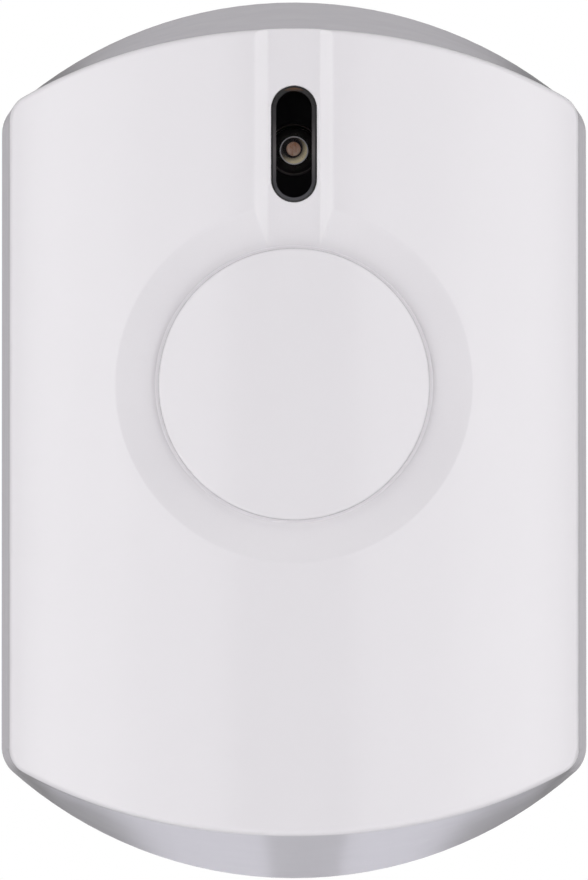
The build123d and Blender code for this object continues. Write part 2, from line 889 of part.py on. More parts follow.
def driver_transistor():
    x, z = transistor_x, transistor_z
    body = block(x, z, transistor_width, transistor_height, board_front, board_front + transistor_depth)
    span = transistor_height + 2 * transistor_leg_reach
    leg_front = board_front + transistor_leg_thickness
    legs = [
        block(x + shift, z, transistor_leg_width, span, board_front, leg_front)
        for shift in (-transistor_leg_x, transistor_leg_x)
    ]
    return joined([body] + legs)


def board_small_parts():
    """Chip resistors in a row under the radio board and a row under the processor."""
    radio_row_z = radio_z - radio_height / 2 - resistor_row_gap
    processor_row_z = processor_z - resistor_row_drop
    chips = []
    for number in range(resistors_in_row):
        offset = (number - (resistors_in_row - 1) / 2) * resistor_space
        for x, z in ((radio_x, radio_row_z), (processor_x + resistor_row_shift, processor_row_z)):
            front = board_front + resistor_height
            chips.append(block(x + offset, z, resistor_width, resistor_length, board_front, front))
    return grouped(chips)


def battery_cell():
    left = -cell_right_end
    can = across(cell_z, cell_depth, cell_radius, left, left + cell_length)
    can = fillet(can.edges().filter_by(GeomType.CIRCLE), cell_round)
    nub = across(cell_z, cell_depth, cell_nub_radius, left + cell_length, cell_right_end)
    return joined([can, nub])


def battery_cradle():
    """Trough with round saddles, low next to the board, with slots for the contacts."""
    length = 2 * cradle_half_length
    width = 2 * cradle_half_height
    back = plate_thickness
    low_side = cell_z - cradle_half_height
    high_side = cell_z + cradle_half_height
    pieces = [
        block(0, cell_z, length, width, back, back + cradle_floor),
        block(0, low_side + cradle_wall / 2, length, cradle_wall, back, back + cradle_front_rise),
        block(0, high_side - cradle_wall / 2, length, cradle_wall, back, back + cradle_board_rise),
    ]
    end_x = cradle_half_length - cradle_wall / 2
    for x in (-end_x, end_x):
        pieces.append(block(x, cell_z, cradle_wall, 2 * cell_radius, back, back + cradle_end_rise))
    spacing = cell_length / cradle_ribs
    for number in range(cradle_ribs):
        x = (number - (cradle_ribs - 1) / 2) * spacing
        pieces.append(block(x, cell_z, cradle_rib, width, back, back + cradle_board_rise))
    room_end = cell_right_end + cradle_end_gap
    cradle = joined(pieces) - across(cell_z, cell_depth, cell_radius + cell_clearance, -room_end, room_end)
    screw_room = 2 * wall_seat_radius
    cradle -= block(0, low_side, screw_room, 2 * cradle_wall, back + cradle_board_rise, case_depth)
    peg_hole = cradle_peg_radius + fit_gap
    return cradle - [rod(x, cell_z, peg_hole, 0, case_depth) for x in (-cradle_peg_x, cradle_peg_x)]


def contact_plate(side):
    """Sheet metal contact: upright plate at the cell's end, with a leg soldered to the board's front."""
    x = side * (cradle_half_length - cradle_wall - contact_thickness / 2)
    back = plate_thickness + cradle_floor + contact_lift
    front = cell_depth + contact_width / 2
    plate = block(x, cell_z, contact_thickness, contact_width, back, front)
    leg_top = board_bottom + contact_leg_overlap
    leg_middle = (cell_z + leg_top) / 2
    leg_front = board_front + contact_leg_width
    leg = block(x, leg_middle, contact_thickness, leg_top - cell_z, board_front, leg_front)
    foot_x = x - side * contact_leg_width / 2
    foot_height = contact_leg_overlap / 2
    foot_front = board_front + contact_thickness
    foot = block(foot_x, leg_top - foot_height / 2, contact_leg_width, foot_height, board_front, foot_front)
    return joined([plate, leg, foot])


def positive_contact():
    """Plate with a dimple that reaches the cell's nub."""
    end = cradle_half_length - cradle_wall - contact_thickness / 2
    dimple = across(cell_z, cell_depth, contact_dimple_radius, cell_right_end, end)
    return joined([contact_plate(1), dimple])


def negative_contact():
    """Plate with a tapering coil that presses on the cell's flat end."""
    start = -(cradle_half_length - cradle_wall - contact_thickness)
    end = -cell_right_end - contact_coil_wire / 2
    plane = Plane(origin=(0, -cell_depth, cell_z), x_dir=(0, 1, 0), z_dir=(1, 0, 0))
    radii = (contact_coil_wide, contact_coil_narrow)
    spring = coil("negative_contact", plane, radii, (start, end), contact_coil_turns, contact_coil_wire)
    return joined([contact_plate(-1), spring])


nodes = {
    "front_cover": front_cover(),
    "window_lens": window_lens(),
    "light_shield": light_shield(),
    "siren_button": siren_button(),
    "button_spring": button_spring(),
    "button_retainer": button_retainer(),
    "retainer_screws": retainer_screws(),
    "back_plate": back_plate(),
    "cover_latch": cover_latch(),
    "main_board": main_board(),
    "board_screws": board_screws(),
    "siren_capsule": siren_capsule(),
    "capsule_lid": capsule_lid(),
    "piezo_disc": piezo_disc(),
    "led_lamp": led_lamp(),
    "led_spacer": led_spacer(),
    "button_switch": button_switch(),
    "button_switch_stem": button_switch_stem(),
    "tamper_switch": tamper_switch(),
    "tamper_switch_stem": tamper_switch_stem(),
    "radio_board": radio_board(),
    "radio_shield": radio_shield(),
    "antenna_coil": antenna_coil(),
    "antenna_foot": antenna_foot(),
    "processor_chip": processor_chip(),
    "crystal": crystal(),
    "program_header": program_header(),
    "boost_capacitor": boost_capacitor(),
    "boost_inductor": boost_inductor(),
    "driver_transistor": driver_transistor(),
    "board_small_parts": board_small_parts(),
    "battery_cell": battery_cell(),
    "battery_cradle": battery_cradle(),
    "positive_contact": positive_contact(),
    "negative_contact": negative_contact(),
}

os.makedirs("parts", exist_ok=True)
for name, shape in nodes.items():
    export_step(shape, f"parts/{name}.step")
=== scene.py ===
import bpy
import bmesh
import json
import math
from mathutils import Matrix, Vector


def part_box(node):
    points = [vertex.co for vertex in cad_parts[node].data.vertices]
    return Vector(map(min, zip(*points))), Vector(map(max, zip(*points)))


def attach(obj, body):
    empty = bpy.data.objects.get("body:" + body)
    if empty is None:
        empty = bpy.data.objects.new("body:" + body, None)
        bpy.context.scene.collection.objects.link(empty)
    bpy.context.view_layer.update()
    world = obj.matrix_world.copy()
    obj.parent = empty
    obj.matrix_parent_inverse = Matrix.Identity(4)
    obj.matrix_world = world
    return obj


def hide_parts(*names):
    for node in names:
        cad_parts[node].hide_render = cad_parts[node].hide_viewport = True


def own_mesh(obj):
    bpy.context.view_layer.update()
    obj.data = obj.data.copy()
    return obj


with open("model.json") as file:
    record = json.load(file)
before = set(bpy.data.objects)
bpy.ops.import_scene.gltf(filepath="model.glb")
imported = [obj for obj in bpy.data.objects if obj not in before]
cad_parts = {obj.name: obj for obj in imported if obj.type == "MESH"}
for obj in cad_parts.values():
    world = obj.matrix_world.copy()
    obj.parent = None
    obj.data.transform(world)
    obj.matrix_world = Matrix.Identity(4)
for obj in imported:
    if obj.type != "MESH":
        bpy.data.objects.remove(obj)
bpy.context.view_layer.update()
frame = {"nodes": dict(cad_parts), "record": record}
nodes = frame["nodes"]
slot_of = {part["node"]: part["material_slot"] for part in frame["record"]["subparts"]}

# One millimetre in scene units
mm = 0.001

# Camera: in front of the wall, a little below the middle of the case
photo_height_px = 880
photo_px_per_metre = 9745
camera_distance = 1.2
camera_drop = 0.030
camera_sensor = 24
camera_clip = (0.01, 20)

neutral = (1.0, 1.0, 1.0)
cool = (0.89, 0.88, 1.0)
mauve = (1.0, 0.97, 1.03)

# Softboxes: name, place, size, power and tint. A name with {} stands for two, left and right alike.
softboxes = (
    ("{}_softbox", (0.536, -0.802, 0.0), (0.33, 1.0), 3.2, neutral),
    ("key_softbox", (0.0, -0.88, 0.45), (0.25, 0.25), 0.95, neutral),
    ("front_softbox", (0.0, -1.25, 0.0), (0.30, 0.30), 1.0, neutral),
    ("low_softbox", (0.0, -0.30, -0.80), (0.8, 0.5), 0.5, cool),
    ("rear_softbox", (0.0, 1.10, 0.25), (0.6, 0.6), 3.0, neutral),
    ("{}_rear_softbox", (0.90, 0.45, 0.15), (0.5, 0.6), 2.5, neutral),
    ("top_rear_softbox", (0.0, 0.35, 0.90), (0.6, 0.6), 2.0, neutral),
)
sky_strength = 0.22
background_strength = 1.0

# Floor, and how much paler the camera sees it
floor_drop = 0.40
floor_half = 6.0
floor_grey = 0.8
floor_glow = 0.45
stage_roughness = 0.9

# Flat cards that only shiny surfaces see: name, left, right, bottom, top, brightness and tint
back_cards_y = 0.45
back_cards = (
    ("upper_card", -0.05, 0.05, 0.09, 0.60, 0.35, mauve),
    ("left_card", -0.13, -0.06, -0.07, 0.09, 0.37, mauve),
    ("right_card", 0.06, 0.13, -0.07, 0.09, 0.37, mauve),
    ("left_strip", -0.056, -0.010, -0.40, -0.07, 0.69, cool),
    ("lower_card", -0.010, 0.020, -0.40, -0.07, 0.40, cool),
    ("right_strip", 0.020, 0.056, -0.40, -0.07, 0.71, cool),
)
# Dim card close behind them, as wide as it is high
dim_card_y = back_cards_y + 0.01
dim_card_half = 0.7
dim_level = 0.06
# Cards round the front, left and right alike: where each starts and ends, in degrees from straight ahead, and
# its brightness
side_cards = (
    (10.5, 27, 0.80), (27, 35.5, 1.12), (35.5, 43, 1.50), (43, 56, 0.80), (56, 68, 2.00), (68, 100, 0.50),
)
side_card_distance = 0.9
side_card_half_height = 0.5
# Dark card behind the camera
front_card_y = -1.7
front_card_half_angle = 10
front_card_half_height = 0.9
front_level = 0.05

# Sizes that the boxes of the frame don't give
face_radius = 75 * mm
ring_depth = 0.95 * mm
button_flange_lip = 1.2 * mm
lens_flange_lip = 1.4 * mm
window_bevel = 0.45 * mm
shield_floor = 0.8 * mm
spring_wire = 0.6 * mm
spring_turns = 2.5
# Painted shade in the creases of the white case: how far walls are felt, the openness that counts as deep,
# and the share of brightness left there
painted_shade_reach = 6 * mm
painted_shade_open = 0.80
painted_shade_share = 0.88
case_roughness = 0.15
case_edge = 0.3 * mm
# Values between which most of a noise pattern lies
noise_span = (0.3, 0.7)
weave_size = 3.2 * mm
# Painted glow on the parts inside the clear lamp, which is not lit
painted_lamp_glow = 0.10
painted_cup_glow = 0.16
# Height of the bare metal at the front of a switch or a capacitor
bare_front = 0.3 * mm

# Colours that several finishes share
case_white = (0.80, 0.776, 0.810)
# Paler than the case white: painted light that lifts the shade round the button's gap
lip_white_painted_light = (0.84, 0.815, 0.850)
deep_black = (0.003, 0.003, 0.004)
plain_black = (0.02, 0.02, 0.02)
epoxy_black = (0.022, 0.022, 0.024)
film_blue = (0.09, 0.11, 0.15)
tin = (0.72, 0.71, 0.68)
steel = (0.62, 0.61, 0.58)
gold = (0.85, 0.62, 0.25)
solder_grey = (0.70, 0.69, 0.66)
rim_grey = (0.80, 0.79, 0.84)

# Places and sizes that come from the frame
board_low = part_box("main_board")[0]
board_front = -board_low.y
lamp_low, lamp_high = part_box("led_lamp")
lamp_centre = (lamp_low + lamp_high) / 2
lamp_radius = 1.5 * mm
lamp_base = -lamp_low.y - lamp_radius
# The reflector cup's throat lies a little off the lamp's axis
throat_x, throat_z = lamp_centre.x - 0.15 * mm, lamp_centre.z + 0.27 * mm


def add_camera():
    view_height = photo_height_px / photo_px_per_metre
    data = bpy.data.cameras.new("camera")
    data.sensor_fit = "VERTICAL"
    data.sensor_height = camera_sensor
    data.lens = data.sensor_height * camera_distance / view_height
    data.clip_start, data.clip_end = camera_clip
    camera = bpy.data.objects.new("camera", data)
    camera.location = (0, -camera_distance, -camera_drop)
    aim = Vector((0, 0, 0)) - camera.location
    camera.rotation_euler = aim.to_track_quat("-Z", "Y").to_euler()
    bpy.context.scene.collection.objects.link(camera)
    bpy.context.scene.camera = camera


def add_softbox(name, place, size, power, tint):
    """Lamp that lights the object and shows neither in the picture nor in gloss."""
    data = bpy.data.lights.new(name, "AREA")
    data.color = tint
    data.shape = "RECTANGLE"
    data.size, data.size_y = size
    data.energy = power
    lamp = bpy.data.objects.new(name, data)
    lamp.location = place
    lamp.rotation_euler = (-Vector(place)).to_track_quat("-Z", "Y").to_euler()
    lamp.visible_camera = False
    lamp.visible_glossy = False
    bpy.context.scene.collection.objects.link(lamp)


def upright(start, end, bottom, top):
    """Corners of an upright card over a line on the ground."""
    return [(*start, bottom), (*end, bottom), (*end, top), (*start, top)]


def add_plane(name, corners, grey, glow=0.0, tint=neutral):
    mesh = bpy.data.meshes.new(name)
    mesh.from_pydata(corners, [], [range(len(corners))])
    plane = bpy.data.objects.new(name, mesh)
    material = bpy.data.materials.new(name)
    material.use_nodes = True
    shader = material.node_tree.nodes["Principled BSDF"]
    shader.inputs["Base Color"].default_value = (grey, grey, grey, 1)
    shader.inputs["Roughness"].default_value = stage_roughness
    shader.inputs["Emission Color"].default_value = (*tint, 1)
    shader.inputs["Emission Strength"].default_value = glow
    mesh.materials.append(material)
    bpy.context.scene.collection.objects.link(plane)
    return plane


def add_card(name, corners, level, tint=neutral):
    """Flat card of the studio that nothing but gloss sees."""
    card = add_plane(name, corners, 0.0, level, tint)
    card.visible_camera = False
    card.visible_diffuse = False
    card.visible_shadow = False
    card.visible_transmission = False


def add_cards():
    """Cards behind the object, which its steep sides mirror, and others round its front."""
    half = dim_card_half
    add_card("back_card", upright((-half, dim_card_y), (half, dim_card_y), -half, half), dim_level)
    for name, left, right, bottom, top, level, tint in back_cards:
        add_card(name, upright((left, back_cards_y), (right, back_cards_y), bottom, top), level, tint)
    for number, (start, end, level) in enumerate(side_cards):
        for side, word in ((-1, "left"), (1, "right")):
            edges = [
                (side * side_card_distance * math.sin(math.radians(angle)),
                 -side_card_distance * math.cos(math.radians(angle)))
                for angle in (start, end)
            ]
            corners = upright(*edges, -side_card_half_height, side_card_half_height)
            add_card(f"{word}_side_card_{number}", corners, level)
    half = -front_card_y * math.tan(math.radians(front_card_half_angle))
    height = front_card_half_height
    add_card("front_card", upright((-half, front_card_y), (half, front_card_y), -height, height), front_level)


def add_floor():
    """Pale matt floor that keeps the object's shadow."""
    corners = [(x * floor_half, y * floor_half, -floor_drop) for x, y in ((-1, -1), (1, -1), (1, 1), (-1, 1))]
    floor = add_plane("floor", corners, floor_grey)
    tree = floor.data.materials[0].node_tree
    path = tree.nodes.new("ShaderNodeLightPath")
    glow = tree.nodes.new("ShaderNodeMath")
    glow.operation = "MULTIPLY"
    glow.inputs[1].default_value = floor_glow
    tree.links.new(path.outputs["Is Camera Ray"], glow.inputs[0])
    tree.links.new(glow.outputs["Value"], tree.nodes["Principled BSDF"].inputs["Emission Strength"])


def add_world():
    """White where the camera, gloss and glass look, and a dim even sky for everything else."""
    world = bpy.data.worlds.new("studio")
    bpy.context.scene.world = world
    world.use_nodes = True
    tree = world.node_tree
    tree.nodes.clear()
    rays = tree.nodes.new("ShaderNodeLightPath").outputs

    def either(first, second):
        made = tree.nodes.new("ShaderNodeMath")
        made.operation = "MAXIMUM"
        tree.links.new(first, made.inputs[0])
        tree.links.new(second, made.inputs[1])
        return made.outputs["Value"]

    def white(strength):
        made = tree.nodes.new("ShaderNodeBackground")
        made.inputs["Color"].default_value = (1, 1, 1, 1)
        made.inputs["Strength"].default_value = strength
        return made.outputs["Background"]

    seen = either(rays["Is Camera Ray"], either(rays["Is Glossy Ray"], rays["Is Transmission Ray"]))
    mix = tree.nodes.new("ShaderNodeMixShader")
    tree.links.new(seen, mix.inputs["Fac"])
    tree.links.new(white(sky_strength), mix.inputs[1])
    tree.links.new(white(background_strength), mix.inputs[2])
    out = tree.nodes.new("ShaderNodeOutputWorld")
    tree.links.new(mix.outputs["Shader"], out.inputs["Surface"])


def light_studio():
    for name, (x, y, z), size, power, tint in softboxes:
        if "{}" in name:
            add_softbox(name.format("left"), (-x, y, z), size, power, tint)
            add_softbox(name.format("right"), (x, y, z), size, power, tint)
        else:
            add_softbox(name, (x, y, z), size, power, tint)
    add_cards()
    add_floor()
    add_world()


class Finish:
    """A material whose patterns run in the object's own coordinates, in metres."""

    def __init__(self, name, colour, roughness, metallic=0.0, specular=0.5, alpha=1.0):
        self.material = bpy.data.materials.new(name)
        self.material.use_nodes = True
        self.tree = self.material.node_tree
        self.shader = self.tree.nodes["Principled BSDF"]
        self.colour = colour
        self.roughness = roughness
        self.set("Base Color", (*colour, 1))
        self.set("Roughness", roughness)
        self.set("Metallic", metallic)
        self.set("Specular IOR Level", specular)
        self.set("Alpha", alpha)
        self.place = self.tree.nodes.new("ShaderNodeTexCoord").outputs["Object"]
        self.normal = None

    def set(self, name, value):
        self.feed(value, self.shader.inputs[name])

    def feed(self, value, socket):
        if isinstance(value, bpy.types.NodeSocket):
            self.tree.links.new(value, socket)
        else:
            socket.default_value = value

    def node(self, kind, **inputs):
        made = self.tree.nodes.new(kind)
        for key, value in inputs.items():
            self.feed(value, made.inputs[key.replace("_", " ")])
        return made

    def noise(self, size, stretch=(1, 1, 1), detail=3.0):
        """Cloudy pattern with blots of a size, drawn out along an axis whose stretch is small."""
        mapping = self.node("ShaderNodeMapping", Vector=self.place, Scale=stretch)
        return self.node(
            "ShaderNodeTexNoise", Vector=mapping.outputs["Vector"], Scale=1 / size, Detail=detail
        ).outputs[0]

    def axis(self, name):
        return self.node("ShaderNodeSeparateXYZ", Vector=self.place).outputs[name]

    def math(self, operation, first, second=0.0):
        made = self.tree.nodes.new("ShaderNodeMath")
        made.operation = operation
        self.feed(first, made.inputs[0])
        self.feed(second, made.inputs[1])
        return made.outputs[0]

    def away(self, name, centre):
        """Distance from a centre along one axis."""
        return self.math("ABSOLUTE", self.math("SUBTRACT", self.axis(name), centre))

    def diagonal(self, first, second):
        """Length of the diagonal over two distances."""
        square = self.math("ADD", self.math("MULTIPLY", first, first), self.math("MULTIPLY", second, second))
        return self.math("SQRT", square)

    def ramp(self, value, start, end, low=0.0, high=1.0):
        """Low where the value is before start, high where it is past end, and a line in between."""
        made = self.node("ShaderNodeMapRange", Value=value)
        for key, number in (("From Min", start), ("From Max", end), ("To Min", low), ("To Max", high)):
            made.inputs[key].default_value = number
        return made.outputs["Result"]

    def mix(self, share, first, second):
        made = self.tree.nodes.new("ShaderNodeMix")
        made.data_type = "RGBA"
        self.feed(share, made.inputs[0])
        self.feed(first if isinstance(first, bpy.types.NodeSocket) else (*first, 1), made.inputs[6])
        self.feed(second if isinstance(second, bpy.types.NodeSocket) else (*second, 1), made.inputs[7])
        return made.outputs[2]

    def mottle(self, size, amount):
        """Base colour a little lighter and darker in clouds."""
        darker = tuple(channel * (1 - amount) for channel in self.colour)
        lighter = tuple(min(channel * (1 + amount), 1) for channel in self.colour)
        colour = self.mix(self.ramp(self.noise(size, detail=2.0), *noise_span), darker, lighter)
        self.set("Base Color", colour)
        return colour

    def uneven_gloss(self, size, amount, stretch=(1, 1, 1)):
        least, most = self.roughness - amount, self.roughness + amount
        self.set("Roughness", self.ramp(self.noise(size, stretch), *noise_span, least, most))

    def glow(self, colour, strength):
        self.set("Emission Color", colour)
        self.set("Emission Strength", strength)

    def relief(self, height, depth, strength=1.0):
        """Bump of a depth, laid over the bumps made before it."""
        bump = self.node("ShaderNodeBump", Height=height, Distance=depth, Strength=strength)
        if self.normal:
            self.tree.links.new(self.normal, bump.inputs["Normal"])
        self.normal = bump.outputs["Normal"]
        self.set("Normal", self.normal)


def moulded(name, colour, roughness, grain=0.35 * mm, grain_depth=0.003 * mm, specular=0.5, edge=0):
    """Moulded plastic with faint clouds in its colour, a fine grain and maybe softly broken edges."""
    finish = Finish(name, colour, roughness, specular=specular)
    if edge:
        finish.normal = finish.node("ShaderNodeBevel", Radius=edge).outputs["Normal"]
    finish.mottle(16 * mm, 0.01)
    finish.uneven_gloss(5 * mm, 0.12 * roughness)
    finish.relief(finish.noise(grain, detail=4.0), grain_depth)
    return finish


def metal(name, colour, roughness, lines=0.06 * mm, stretch=(0.04, 1, 1)):
    """Drawn or rolled metal: fine lines along one axis and a spotted gloss."""
    finish = Finish(name, colour, roughness, metallic=1.0)
    finish.mottle(2 * mm, 0.06)
    finish.uneven_gloss(lines * 4, 0.25 * roughness, stretch)
    finish.relief(finish.noise(lines, stretch), 0.0007 * mm)
    return finish


def case_plastic(name):
    """Glossy white plastic of the case and the button, with softly broken edges and painted shade darkening
    its creases.
    """
    finish = Finish(name, case_white, case_roughness, specular=1.0)
    clouds = finish.mottle(16 * mm, 0.004)
    # Painted shade: the colour darkens where nearby walls close in round the surface
    openness = finish.node("ShaderNodeAmbientOcclusion", Distance=painted_shade_reach).outputs["AO"]
    painted_crease_shade = tuple(channel * painted_shade_share for channel in finish.colour)
    finish.set("Base Color", finish.mix(finish.ramp(openness, painted_shade_open, 1.0), painted_crease_shade, clouds))
    finish.uneven_gloss(5 * mm, 0.008)
    finish.normal = finish.node("ShaderNodeBevel", Radius=case_edge).outputs["Normal"]
    finish.relief(finish.noise(0.2 * mm, detail=2.0), 0.0001 * mm)
    return finish


def smoked_window():
    """See-through black plastic with a satin grey bevel, darkened towards both ends in painted shade, and a
    painted amber highlight at the top.
    """
    finish = Finish("window_smoked", (0.004, 0.003, 0.004), 0.10)
    lens_low, lens_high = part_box("window_lens")
    middle = (lens_low + lens_high) / 2
    half_width = lens_high.x - middle.x - lens_flange_lip
    lens_top = lens_high.z - lens_flange_lip

    # The bevel runs at the same distance from the window's spine all round, with a dark rim outside it
    spine_half = lens_high.z - lens_high.x - middle.z + middle.x
    beyond = finish.math("MAXIMUM", finish.math("SUBTRACT", finish.away("Z", middle.z), spine_half), 0.0)
    from_spine = finish.diagonal(finish.away("X", middle.x), beyond)
    inner = half_width - window_bevel
    bevel = finish.ramp(from_spine, inner - 0.05 * mm, inner + 0.02 * mm)
    rim = finish.ramp(from_spine, half_width - 0.20 * mm, half_width - 0.10 * mm)

    # Painted shade: the bevel is palest at the middle of the window and darkens to both ends, with a painted
    # amber highlight at the very top
    satin_painted_shade_and_highlight = (0.080, 0.071, 0.074)
    for start, end, colour in (
        (middle.z - 1.0 * mm, middle.z - 4.5 * mm, (0.034, 0.033, 0.042)),
        (middle.z - 0.5 * mm, middle.z + 2.6 * mm, (0.022, 0.019, 0.022)),
        (lens_top - 2.6 * mm, lens_top - 0.7 * mm, (0.009, 0.008, 0.009)),
        (lens_top - 0.5 * mm, lens_top - 0.1 * mm, (0.11, 0.045, 0.014)),
    ):
        satin_painted_shade_and_highlight = finish.mix(finish.ramp(finish.axis("Z"), start, end), satin_painted_shade_and_highlight, colour)
    finish.set("Base Color", finish.mix(finish.math("SUBTRACT", bevel, rim), finish.colour, satin_painted_shade_and_highlight))
    finish.set("Alpha", finish.ramp(bevel, 0.0, 1.0, 0.05, 1.0))
    finish.uneven_gloss(1.5 * mm, 0.02)
    finish.relief(finish.noise(4 * mm), 0.001 * mm)
    return finish


def clear_lamp():
    """Clear resin, which shows little more than its gloss."""
    finish = Finish("lamp_clear", (0.55, 0.53, 0.56), 0.06, alpha=0.10)
    finish.uneven_gloss(1 * mm, 0.02)
    finish.relief(finish.noise(0.8 * mm), 0.003 * mm)
    return finish


def lamp_metal():
    """Reflector cup, painted with shade at its upper left and a bright brass highlight at its lower right,
    and a painted glow.
    """
    finish = Finish("lamp_cup", (0.62, 0.52, 0.32), 0.34, metallic=0.25)
    slant = finish.math("SUBTRACT", finish.axis("X"), finish.axis("Z"))
    middle = lamp_centre.x - lamp_centre.z
    # Painted highlight on the lower right, painted shade on the upper left
    painted_highlight_side = finish.ramp(slant, middle - 0.9 * mm, middle + 0.9 * mm)
    from_throat = finish.diagonal(finish.away("X", throat_x), finish.away("Z", throat_z))
    outward = finish.ramp(from_throat, 1.05 * mm, 1.40 * mm)
    brass_painted_highlight = finish.mix(outward, (0.34, 0.29, 0.21), (1.0, 0.88, 0.60))
    colour = finish.mix(painted_highlight_side, (0.05, 0.047, 0.052), brass_painted_highlight)
    finish.set("Base Color", colour)
    # Painted glow, as the lamp is not lit
    finish.glow(colour, painted_cup_glow)
    finish.uneven_gloss(0.3 * mm, 0.08)
    finish.relief(finish.noise(0.25 * mm), 0.02 * mm)
    return finish


def lamp_chip():
    """Pinkish chip with upright stripes and a painted glow."""
    finish = Finish("lamp_die", (0.60, 0.36, 0.27), 0.45)
    stripes = finish.ramp(finish.noise(0.35 * mm, (1, 1, 0.4)), 0.35, 0.65)
    colour = finish.mix(stripes, (0.95, 0.68, 0.55), (0.70, 0.33, 0.20))
    finish.set("Base Color", colour)
    # Painted glow, as the lamp is not lit
    finish.glow(colour, painted_lamp_glow)
    finish.relief(finish.noise(0.15 * mm), 0.01 * mm)
    return finish


def solder_mask(name, colour):
    """Green lacquer over glass weave."""
    finish = Finish(name, colour, 0.32)
    turned = finish.node("ShaderNodeMapping", Vector=finish.place, Rotation=(0, math.pi / 2, 0))
    warp, weft = (
        finish.node("ShaderNodeTexWave", Vector=place, Scale=1 / weave_size).outputs["Fac"]
        for place in (finish.place, turned.outputs["Vector"])
    )
    weave = finish.math("MULTIPLY", warp, weft)
    lighter = tuple(channel * 1.25 for channel in colour)
    finish.set("Base Color", finish.mix(finish.ramp(weave, 0.0, 1.0, 0.0, 0.6), colour, lighter))
    finish.uneven_gloss(2 * mm, 0.06)
    finish.relief(weave, 0.004 * mm)
    return finish


def two_part(name, plastic, plastic_gloss, bare, bare_gloss, bare_share, pattern=None):
    """Plastic, mottled or with a pattern, and bare metal where the share, made from the finish, is one."""
    finish = Finish(name, plastic, plastic_gloss)
    share = bare_share(finish)
    colour = pattern(finish) if pattern else finish.mottle(1.5 * mm, 0.12)
    finish.set("Base Color", finish.mix(share, colour, bare))
    finish.set("Metallic", share)
    finish.set("Roughness", finish.ramp(share, 0.0, 1.0, plastic_gloss, bare_gloss))
    finish.relief(finish.noise(0.12 * mm), 0.004 * mm)
    return finish


def outside_square(node, half):
    """Share that is one beyond a square about a node's middle, seen from the front."""
    low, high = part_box(node)
    middle = (low + high) / 2

    def share(finish):
        farther = finish.math("MAXIMUM", finish.away("X", middle.x), finish.away("Z", middle.z))
        return finish.math("GREATER_THAN", farther, half)

    return share


def in_front_of(depth):
    """Share that is one where a surface lies deeper in front of the wall than a depth."""
    return lambda finish: finish.math("LESS_THAN", finish.axis("Y"), -depth)


def beyond_x(half):
    """Share that is one farther to either side than a distance."""
    return lambda finish: finish.math("GREATER_THAN", finish.away("X", 0.0), half)


def chip_ends(finish):
    """Tinned ends of the small chips, one row of which lies left and one right."""
    low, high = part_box("board_small_parts")
    half_chip = 0.8 * mm
    tinned = 0.3 * mm
    right = finish.math("GREATER_THAN", finish.axis("X"), 0.0)
    row = finish.ramp(right, 0.0, 1.0, low.z + half_chip, high.z - half_chip)
    away = finish.math("ABSOLUTE", finish.math("SUBTRACT", finish.axis("Z"), row))
    return finish.math("GREATER_THAN", away, half_chip - tinned)


def cell_film():
    """Plain film wrap with a lighter band at one end, and bare steel at both ends."""
    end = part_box("battery_cell")[1].x
    bare_end = 1.6 * mm
    band_start = end - 10 * mm

    def banded(finish):
        band = finish.math("GREATER_THAN", finish.axis("X"), band_start)
        return finish.mix(band, finish.colour, (0.50, 0.50, 0.52))

    finish = two_part("cell_wrap", film_blue, 0.3, steel, 0.25, beyond_x(end - bare_end), banded)
    finish.relief(finish.noise(3 * mm, (0.3, 1, 1)), 0.03 * mm)
    return finish


def all_finishes():
    """The finish of each material slot."""
    switch_front = -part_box("button_switch")[0].y
    capacitor_front = -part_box("boost_capacitor")[0].y
    return {
        "cover_white": case_plastic("cover_white"),
        "button_white": case_plastic("button_white"),
        "window_smoked": smoked_window(),
        "plastic_black": moulded("plastic_black", deep_black, 0.6, specular=0.15),
        "base_white": moulded(
            "base_white", (0.72, 0.70, 0.72), 0.42, grain_depth=0.006 * mm, edge=0.25 * mm
        ),
        "spring_steel": metal("spring_steel", (0.56, 0.55, 0.53), 0.24),
        "screw_steel": metal("screw_steel", (0.60, 0.60, 0.58), 0.30),
        "board_green": solder_mask("board_green", (0.012, 0.10, 0.035)),
        "capsule_black": moulded("capsule_black", epoxy_black, 0.42),
        "piezo_brass": metal("piezo_brass", (0.80, 0.58, 0.26), 0.28),
        "lamp_clear": clear_lamp(),
        "spacer_black": moulded("spacer_black", plain_black, 0.35),
        "switch_black": two_part(
            "switch_black", plain_black, 0.4, tin, 0.3, in_front_of(switch_front - bare_front)
        ),
        "stem_plastic": moulded("stem_plastic", (0.018, 0.018, 0.02), 0.35),
        "shield_metal": metal("shield_metal", solder_grey, 0.26, stretch=(1, 1, 0.05)),
        "antenna_wire": metal("antenna_wire", (0.72, 0.33, 0.14), 0.22),
        "chip_black": two_part(
            "chip_black", epoxy_black, 0.5, tin, 0.3, outside_square("processor_chip", 3.5 * mm)
        ),
        "header_black": two_part(
            "header_black", plain_black, 0.45, gold, 0.25, in_front_of(board_front + 2.45 * mm)
        ),
        "capacitor_sleeve": two_part(
            "capacitor_sleeve", (0.018, 0.022, 0.05), 0.28, (0.78, 0.78, 0.78), 0.3,
            in_front_of(capacitor_front - bare_front),
        ),
        "inductor_ferrite": moulded("inductor_ferrite", (0.07, 0.07, 0.07), 0.6, grain_depth=0.02 * mm),
        "resistor_ceramic": two_part("resistor_ceramic", (0.02, 0.02, 0.022), 0.4, tin, 0.3, chip_ends),
        "cell_wrap": cell_film(),
        "cradle_grey": moulded(
            "cradle_grey", (0.10, 0.10, 0.105), 0.48, grain_depth=0.008 * mm, edge=0.2 * mm
        ),
        "contact_nickel": metal("contact_nickel", (0.66, 0.63, 0.57), 0.28, stretch=(1, 1, 0.05)),
    }


